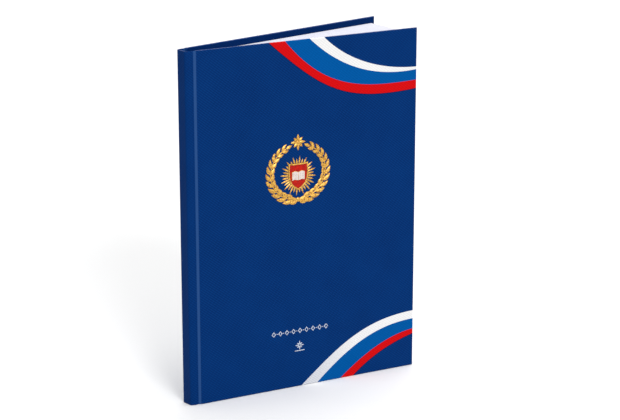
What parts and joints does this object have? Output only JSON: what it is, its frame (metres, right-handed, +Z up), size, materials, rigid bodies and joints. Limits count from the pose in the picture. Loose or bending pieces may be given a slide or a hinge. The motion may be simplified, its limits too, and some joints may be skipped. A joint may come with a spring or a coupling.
{
  "type": "record book",
  "caption": "Hard-cover record book with sewn sections of ruled leaves in a hinged case, standing on its tail edge with the front cover a little open.",
  "frame": {"origin": "on the floor, at the middle of the box around the standing book", "axes": "+X from the spine to the fore-edge, -Y out of the front cover, +Z up from the tail edge to the head"},
  "size_m": [0.205, 0.06, 0.29],
  "materials": {
    "covering": "blue imitation-leather covering with a fine embossed diagonal grain, satin",
    "greyboard": "bare grey binder's board",
    "endpaper": "uncoated white endpaper",
    "page_paper": "uncoated white writing paper, ruled",
    "mull_cloth": "open-weave starched cotton",
    "kraft": "brown kraft paper",
    "thread": "white linen thread",
    "headband_weave": "woven cotton band in blue and white"
  },
  "bodies": {
    "spine": {"spine_skin": "covering", "spine_board": "greyboard", "back_joint_strip": "covering", "spine_lining": "kraft", "mull": "mull_cloth", "sewing_thread": "thread", "headband_head": "headband_weave", "headband_tail": "headband_weave"},
    "front_joint": {"front_joint_strip": "covering"},
    "front_cover": {"front_skin": "covering", "front_board": "greyboard", "front_pastedown": "endpaper", "mull_front_flap": "mull_cloth"},
    "back_cover": {"back_skin": "covering", "back_board": "greyboard", "back_pastedown": "endpaper", "mull_back_flap": "mull_cloth"},
    "front_flyleaf": {"front_flyleaf": "endpaper"},
    "back_flyleaf": {"back_flyleaf": "endpaper"},
    "section_01": {"section_01": "page_paper"},
    "section_02": {"section_02": "page_paper"},
    "section_03": {"section_03": "page_paper"},
    "section_04": {"section_04": "page_paper"},
    "section_05": {"section_05": "page_paper"},
    "section_06": {"section_06": "page_paper"},
    "section_07": {"section_07": "page_paper"},
    "section_08": {"section_08": "page_paper"},
    "section_09": {"section_09": "page_paper"},
    "section_10": {"section_10": "page_paper"},
    "section_11": {"section_11": "page_paper"},
    "section_12": {"section_12": "page_paper"}
  },
  "joints": [
    {"name": "book_opening", "type": "hinge", "parent": "spine", "child": "front_joint", "pos_m": [-0.1022, 0.01795, 0], "axis": [0, 0, -1], "range_deg": [-13, 15]},
    {"name": "front_cover_hinge", "type": "hinge", "parent": "front_joint", "child": "front_cover", "pos_m": [-0.09641, 0.01589, 0], "axis": [0, 0, -1], "range_deg": [0, 135]},
    {"name": "front_flyleaf_turn", "type": "hinge", "parent": "front_joint", "child": "front_flyleaf", "pos_m": [-0.09531, 0.01713, 0], "axis": [0, 0, -1], "range_deg": [0, 67.5]},
    {"name": "back_cover_hinge", "type": "hinge", "parent": "spine", "child": "back_cover", "pos_m": [-0.0961, 0.02875, 0], "axis": [0, 0, 1], "range_deg": [0, 135]},
    {"name": "back_flyleaf_turn", "type": "hinge", "parent": "spine", "child": "back_flyleaf", "pos_m": [-0.0953, 0.0273, 0], "axis": [0, 0, 1], "range_deg": [0, 67.5]},
    {"name": "section_01_turn", "type": "hinge", "parent": "spine", "child": "section_01", "pos_m": [-0.09972, 0.01915, 0], "axis": [0, 0, -1], "range_deg": [-13.01, 15.01]},
    {"name": "section_02_turn", "type": "hinge", "parent": "spine", "child": "section_02", "pos_m": [-0.09972, 0.01985, 0], "axis": [0, 0, -1], "range_deg": [-11.93, 13.76]},
    {"name": "section_03_turn", "type": "hinge", "parent": "spine", "child": "section_03", "pos_m": [-0.09972, 0.02055, 0], "axis": [0, 0, -1], "range_deg": [-10.84, 12.51]},
    {"name": "section_04_turn", "type": "hinge", "parent": "spine", "child": "section_04", "pos_m": [-0.09972, 0.02125, 0], "axis": [0, 0, -1], "range_deg": [-9.76, 11.26]},
    {"name": "section_05_turn", "type": "hinge", "parent": "spine", "child": "section_05", "pos_m": [-0.09972, 0.02195, 0], "axis": [0, 0, -1], "range_deg": [-8.68, 10.01]},
    {"name": "section_06_turn", "type": "hinge", "parent": "spine", "child": "section_06", "pos_m": [-0.09972, 0.02265, 0], "axis": [0, 0, -1], "range_deg": [-7.59, 8.76]},
    {"name": "section_07_turn", "type": "hinge", "parent": "spine", "child": "section_07", "pos_m": [-0.09972, 0.02335, 0], "axis": [0, 0, -1], "range_deg": [-6.51, 7.51]},
    {"name": "section_08_turn", "type": "hinge", "parent": "spine", "child": "section_08", "pos_m": [-0.09972, 0.02405, 0], "axis": [0, 0, -1], "range_deg": [-5.43, 6.26]},
    {"name": "section_09_turn", "type": "hinge", "parent": "spine", "child": "section_09", "pos_m": [-0.09972, 0.02475, 0], "axis": [0, 0, -1], "range_deg": [-4.34, 5.01]},
    {"name": "section_10_turn", "type": "hinge", "parent": "spine", "child": "section_10", "pos_m": [-0.09972, 0.02545, 0], "axis": [0, 0, -1], "range_deg": [-3.26, 3.76]},
    {"name": "section_11_turn", "type": "hinge", "parent": "spine", "child": "section_11", "pos_m": [-0.09972, 0.02615, 0], "axis": [0, 0, -1], "range_deg": [-2.18, 2.51]},
    {"name": "section_12_turn", "type": "hinge", "parent": "spine", "child": "section_12", "pos_m": [-0.09972, 0.02685, 0], "axis": [0, 0, -1], "range_deg": [-1.09, 1.26]}
  ],
  "couplings": [
    {"joint": "front_flyleaf_turn", "follows": "front_cover_hinge", "ratio": 0.5},
    {"joint": "back_flyleaf_turn", "follows": "back_cover_hinge", "ratio": 0.5},
    {"joint": "section_01_turn", "follows": "book_opening", "ratio": 1},
    {"joint": "section_02_turn", "follows": "book_opening", "ratio": 0.91667},
    {"joint": "section_03_turn", "follows": "book_opening", "ratio": 0.83333},
    {"joint": "section_04_turn", "follows": "book_opening", "ratio": 0.75},
    {"joint": "section_05_turn", "follows": "book_opening", "ratio": 0.66667},
    {"joint": "section_06_turn", "follows": "book_opening", "ratio": 0.58333},
    {"joint": "section_07_turn", "follows": "book_opening", "ratio": 0.5},
    {"joint": "section_08_turn", "follows": "book_opening", "ratio": 0.41667},
    {"joint": "section_09_turn", "follows": "book_opening", "ratio": 0.33333},
    {"joint": "section_10_turn", "follows": "book_opening", "ratio": 0.25},
    {"joint": "section_11_turn", "follows": "book_opening", "ratio": 0.16667},
    {"joint": "section_12_turn", "follows": "book_opening", "ratio": 0.083333}
  ]
}
